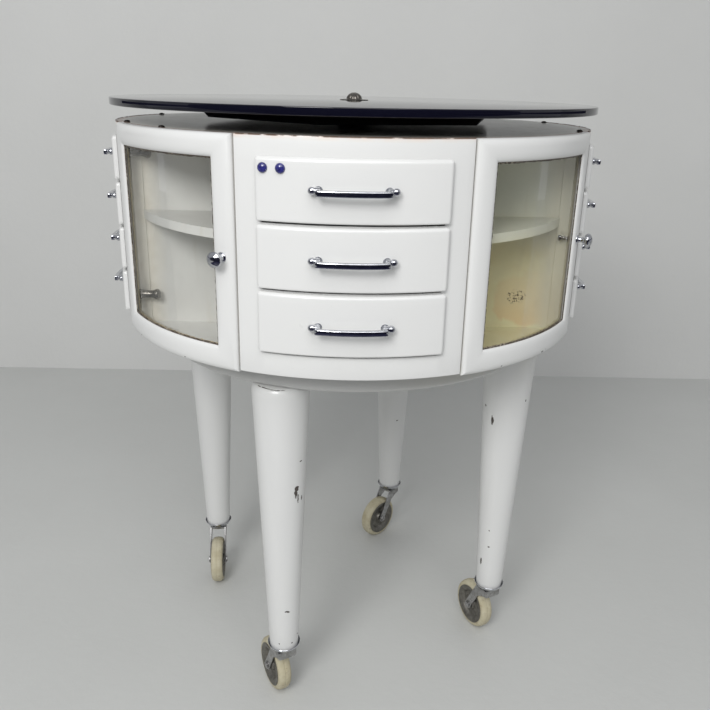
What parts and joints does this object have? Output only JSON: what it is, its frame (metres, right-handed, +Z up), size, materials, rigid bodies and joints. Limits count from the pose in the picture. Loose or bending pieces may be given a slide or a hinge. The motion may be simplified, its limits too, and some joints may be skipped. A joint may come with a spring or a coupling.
{
  "type": "round instrument cabinet",
  "caption": "Round revolving instrument cabinet: white enamelled drum with drawers and curved glazed doors, black glass top, tapered legs on casters.",
  "frame": {"origin": "on the floor, on the vertical axis about which the drum turns", "axes": "+Z up, -Y towards the front bank of drawers, +X to the right seen from the front"},
  "size_m": [0.7564, 0.7342, 0.916],
  "materials": {
    "white_enamel": "glossy stoved white enamel, chipped at edges",
    "worn_enamel": "dulled enamel, rusty near the rim",
    "chrome": "polished, lightly tarnished",
    "caster_steel": "plated pressed steel, dull",
    "wheel_steel": "dark grey pressed steel with rust",
    "cream_rubber": "yellowed cream rubber, matt",
    "black_screw": "blackened",
    "clear_glass": "clear, faintly green",
    "blue_enamel": "glossy dark blue",
    "black_glass": "polished black glass",
    "black_board": "black lacquered board"
  },
  "bodies": {
    "base": {"base_pan": "white_enamel", "legs": "white_enamel", "leg_collars": "chrome", "spindle": "caster_steel"},
    "front_caster": {"front_caster_fork": "caster_steel"},
    "front_wheel": {"front_wheel_hub": "wheel_steel", "front_tyre": "cream_rubber"},
    "right_caster": {"right_caster_fork": "caster_steel"},
    "right_wheel": {"right_wheel_hub": "wheel_steel", "right_tyre": "cream_rubber"},
    "back_caster": {"back_caster_fork": "caster_steel"},
    "back_wheel": {"back_wheel_hub": "wheel_steel", "back_tyre": "cream_rubber"},
    "left_caster": {"left_caster_fork": "caster_steel"},
    "left_wheel": {"left_wheel_hub": "wheel_steel", "left_tyre": "cream_rubber"},
    "drum": {"drum_floor": "white_enamel", "drum_top": "worn_enamel", "compartment_walls": "white_enamel", "bank_panels": "white_enamel", "shelves": "white_enamel", "top_screws": "black_screw"},
    "right_front_door": {"right_front_door_frame": "white_enamel", "right_front_door_glass": "clear_glass", "right_front_door_fittings": "chrome"},
    "right_rear_door": {"right_rear_door_frame": "white_enamel", "right_rear_door_glass": "clear_glass", "right_rear_door_fittings": "chrome"},
    "left_rear_door": {"left_rear_door_frame": "white_enamel", "left_rear_door_glass": "clear_glass", "left_rear_door_fittings": "chrome"},
    "left_front_door": {"left_front_door_frame": "white_enamel", "left_front_door_glass": "clear_glass", "left_front_door_fittings": "chrome"},
    "front_drawer_1_body": {"front_drawer_1": "white_enamel", "front_handle_1": "chrome", "blue_studs": "blue_enamel"},
    "front_drawer_2_body": {"front_drawer_2": "white_enamel", "front_handle_2": "chrome"},
    "front_drawer_3_body": {"front_drawer_3": "white_enamel", "front_handle_3": "chrome"},
    "right_drawer_1_body": {"right_drawer_1": "white_enamel", "right_handle_1": "chrome"},
    "right_drawer_2_body": {"right_drawer_2": "white_enamel", "right_handle_2": "chrome"},
    "right_drawer_3_body": {"right_drawer_3": "white_enamel", "right_handle_3": "chrome"},
    "right_drawer_4_body": {"right_drawer_4": "white_enamel", "right_handle_4": "chrome"},
    "left_drawer_1_body": {"left_drawer_1": "white_enamel", "left_handle_1": "chrome"},
    "left_drawer_2_body": {"left_drawer_2": "white_enamel", "left_handle_2": "chrome"},
    "left_drawer_3_body": {"left_drawer_3": "white_enamel", "left_handle_3": "chrome"},
    "left_drawer_4_body": {"left_drawer_4": "white_enamel", "left_handle_4": "chrome"},
    "top": {"glass_top": "black_glass", "top_board": "black_board", "cap_rosette": "chrome"}
  },
  "joints": [
    {"name": "front_caster_swivel", "type": "hinge", "parent": "base", "child": "front_caster", "pos_m": [-0.09421, -0.25196, 0.1], "axis": [0, 0, 1], "continuous": true},
    {"name": "front_wheel_spin", "type": "hinge", "parent": "front_caster", "child": "front_wheel", "pos_m": [-0.11064, -0.22106, 0.0425], "axis": [-0.8829, -0.4695, 0], "continuous": true},
    {"name": "right_caster_swivel", "type": "hinge", "parent": "base", "child": "right_caster", "pos_m": [0.25196, -0.09421, 0.1], "axis": [0, 0, 1], "continuous": true},
    {"name": "right_wheel_spin", "type": "hinge", "parent": "right_caster", "child": "right_wheel", "pos_m": [0.23662, -0.06275, 0.0425], "axis": [-0.8988, -0.4384, 0], "continuous": true},
    {"name": "back_caster_swivel", "type": "hinge", "parent": "base", "child": "back_caster", "pos_m": [0.09421, 0.25196, 0.1], "axis": [0, 0, 1], "continuous": true},
    {"name": "back_wheel_spin", "type": "hinge", "parent": "back_caster", "child": "back_wheel", "pos_m": [0.06967, 0.227, 0.0425], "axis": [0.7133, -0.7009, 0], "continuous": true},
    {"name": "left_caster_swivel", "type": "hinge", "parent": "base", "child": "left_caster", "pos_m": [-0.25196, 0.09421, 0.1], "axis": [0, 0, 1], "continuous": true},
    {"name": "left_wheel_spin", "type": "hinge", "parent": "left_caster", "child": "left_wheel", "pos_m": [-0.24922, 0.05931, 0.0425], "axis": [0.9969, 0.0785, 0], "continuous": true},
    {"name": "drum_spin", "type": "hinge", "parent": "base", "child": "drum", "pos_m": [0, 0, 0.6], "axis": [0, 0, 1], "continuous": true},
    {"name": "right_front_door_hinge", "type": "hinge", "parent": "drum", "child": "right_front_door", "pos_m": [0.14187, -0.31865, 0.72], "axis": [0, 0, -1], "range_deg": [0, 100]},
    {"name": "right_rear_door_hinge", "type": "hinge", "parent": "drum", "child": "right_rear_door", "pos_m": [0.31865, 0.14187, 0.72], "axis": [0, 0, -1], "range_deg": [0, 100]},
    {"name": "left_rear_door_hinge", "type": "hinge", "parent": "drum", "child": "left_rear_door", "pos_m": [-0.14187, 0.31865, 0.72], "axis": [0, 0, -1], "range_deg": [0, 100]},
    {"name": "left_front_door_hinge", "type": "hinge", "parent": "drum", "child": "left_front_door", "pos_m": [-0.31865, -0.14187, 0.72], "axis": [0, 0, -1], "range_deg": [0, 100]},
    {"name": "front_drawer_1_slide", "type": "slide", "parent": "drum", "child": "front_drawer_1_body", "axis": [0, -1, 0], "range_m": [0, 0.17]},
    {"name": "front_drawer_2_slide", "type": "slide", "parent": "drum", "child": "front_drawer_2_body", "axis": [0, -1, 0], "range_m": [0, 0.17]},
    {"name": "front_drawer_3_slide", "type": "slide", "parent": "drum", "child": "front_drawer_3_body", "axis": [0, -1, 0], "range_m": [0, 0.17]},
    {"name": "right_drawer_1_slide", "type": "slide", "parent": "drum", "child": "right_drawer_1_body", "axis": [1, 0, 0], "range_m": [0, 0.17]},
    {"name": "right_drawer_2_slide", "type": "slide", "parent": "drum", "child": "right_drawer_2_body", "axis": [1, 0, 0], "range_m": [0, 0.17]},
    {"name": "right_drawer_3_slide", "type": "slide", "parent": "drum", "child": "right_drawer_3_body", "axis": [1, 0, 0], "range_m": [0, 0.17]},
    {"name": "right_drawer_4_slide", "type": "slide", "parent": "drum", "child": "right_drawer_4_body", "axis": [1, 0, 0], "range_m": [0, 0.17]},
    {"name": "left_drawer_1_slide", "type": "slide", "parent": "drum", "child": "left_drawer_1_body", "axis": [-1, 0, 0], "range_m": [0, 0.17]},
    {"name": "left_drawer_2_slide", "type": "slide", "parent": "drum", "child": "left_drawer_2_body", "axis": [-1, 0, 0], "range_m": [0, 0.17]},
    {"name": "left_drawer_3_slide", "type": "slide", "parent": "drum", "child": "left_drawer_3_body", "axis": [-1, 0, 0], "range_m": [0, 0.17]},
    {"name": "left_drawer_4_slide", "type": "slide", "parent": "drum", "child": "left_drawer_4_body", "axis": [-1, 0, 0], "range_m": [0, 0.17]},
    {"name": "top_spin", "type": "hinge", "parent": "drum", "child": "top", "pos_m": [0, 0, 0.88], "axis": [0, 0, 1], "continuous": true}
  ]
}
